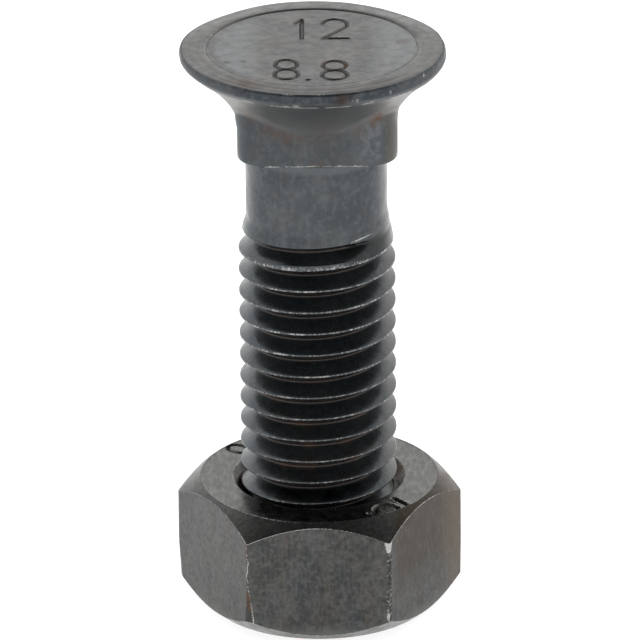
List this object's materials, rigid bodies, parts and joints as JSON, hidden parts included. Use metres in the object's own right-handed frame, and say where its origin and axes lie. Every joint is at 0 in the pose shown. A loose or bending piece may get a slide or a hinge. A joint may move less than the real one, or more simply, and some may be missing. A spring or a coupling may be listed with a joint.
{
  "type": "plow bolt",
  "caption": "Plow bolt with a flat countersunk round head, a square neck, a plain shank and a rolled coarse thread, and a hexagon nut flush with its end.",
  "frame": {"origin": "centre of the bolt's end and of the nut's lower face, which are flush", "axes": "+Z along the bolt's axis towards its head; one flat of the square neck and one flat of the nut face -Y"},
  "size_m": [0.0218, 0.02, 0.045],
  "materials": {
    "bolt_steel": "satin",
    "nut_steel": "satin"
  },
  "bodies": {
    "nut": {"nut": "nut_steel"},
    "bolt": {"bolt": "bolt_steel"}
  },
  "joints": [
    {"name": "thread_travel", "type": "slide", "parent": "nut", "child": "bolt", "axis": [0, 0, 1], "range_m": [-0.01925, 0.0105]}
  ]
}
